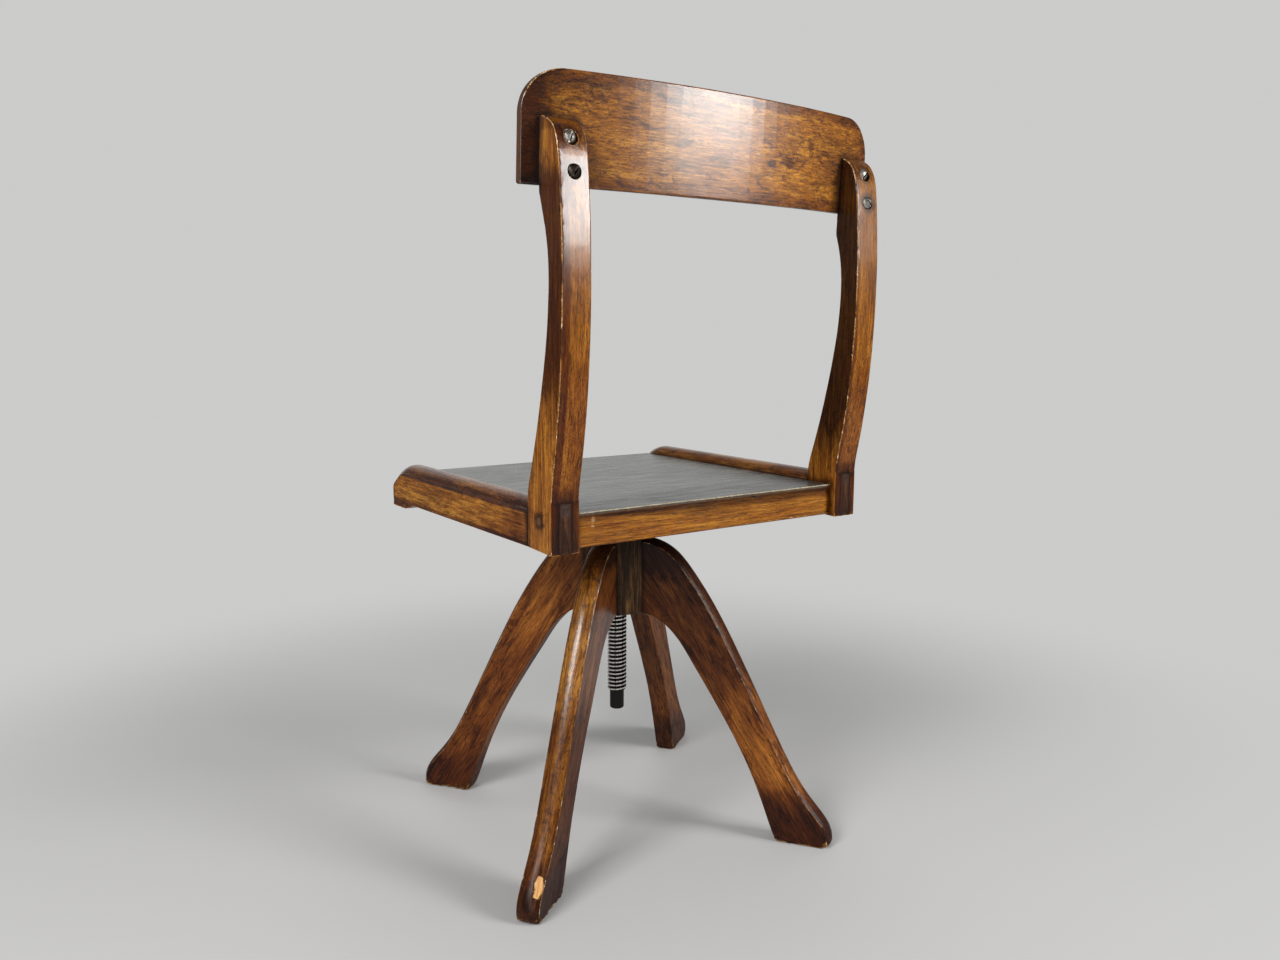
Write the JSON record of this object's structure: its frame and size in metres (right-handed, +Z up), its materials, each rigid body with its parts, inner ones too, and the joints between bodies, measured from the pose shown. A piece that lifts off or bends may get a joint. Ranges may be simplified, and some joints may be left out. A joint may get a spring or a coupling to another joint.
{
  "type": "bankers swivel chair",
  "caption": "Wooden office chair with a curved back panel, a linoleum seat in a crowned frame and splayed sawn legs; the seat turns and rises on a steel screw.",
  "frame": {"origin": "on the floor, on the axis of the seat's screw", "axes": "+Z up along the screw; -Y is the way the sitter looks; +X is the chair's left"},
  "size_m": [0.4576, 0.4576, 0.8549],
  "materials": {
    "varnished_wood": "worn varnish, satin",
    "leg_wood": "worn varnish, satin",
    "panel_wood": "worn varnish, half gloss",
    "dark_wood": "dark stained, satin",
    "bare_wood": "bare, matte",
    "linoleum": "satin, worn",
    "spindle_steel": "dark oiled steel with bright crests",
    "screw_steel": "worn",
    "cast_iron": "black, rough",
    "washer_leather": "oiled"
  },
  "bodies": {
    "base": {"hub": "dark_wood", "leg_1": "leg_wood", "leg_2": "leg_wood", "leg_3": "leg_wood", "leg_4": "leg_wood", "leg_dowels": "bare_wood", "spindle_nut": "cast_iron", "nut_screws": "screw_steel"},
    "lift": {"buffer_washer": "washer_leather"},
    "seat": {"seat_bearer_left": "bare_wood", "seat_bearer_right": "bare_wood", "seat_board": "bare_wood", "front_rail": "varnished_wood", "rear_rail": "varnished_wood", "side_rail_left": "varnished_wood", "side_rail_right": "varnished_wood", "front_rail_dowels": "bare_wood", "rear_rail_dowels": "bare_wood", "corner_block_front_left": "bare_wood", "corner_block_front_right": "bare_wood", "corner_block_rear_left": "bare_wood", "corner_block_rear_right": "bare_wood", "back_post_left": "varnished_wood", "back_post_right": "varnished_wood", "bridle_pegs": "dark_wood", "backrest_panel": "panel_wood", "seat_linoleum": "linoleum", "spindle": "spindle_steel", "spindle_pin": "screw_steel", "spider_screws": "screw_steel", "board_screws": "screw_steel", "backrest_screws": "screw_steel", "seat_spider": "cast_iron"}
  },
  "joints": [
    {"name": "seat_height", "type": "slide", "parent": "base", "child": "lift", "axis": [0, 0, 1], "range_m": [0, 0.1]},
    {"name": "seat_swivel", "type": "hinge", "parent": "lift", "child": "seat", "pos_m": [0, 0, 0.4], "axis": [0, 0, 1], "range_deg": [0, 7200]}
  ],
  "couplings": [
    {"joint": "seat_height", "follows": "seat_swivel", "m_per_rad": 0.00079577}
  ]
}
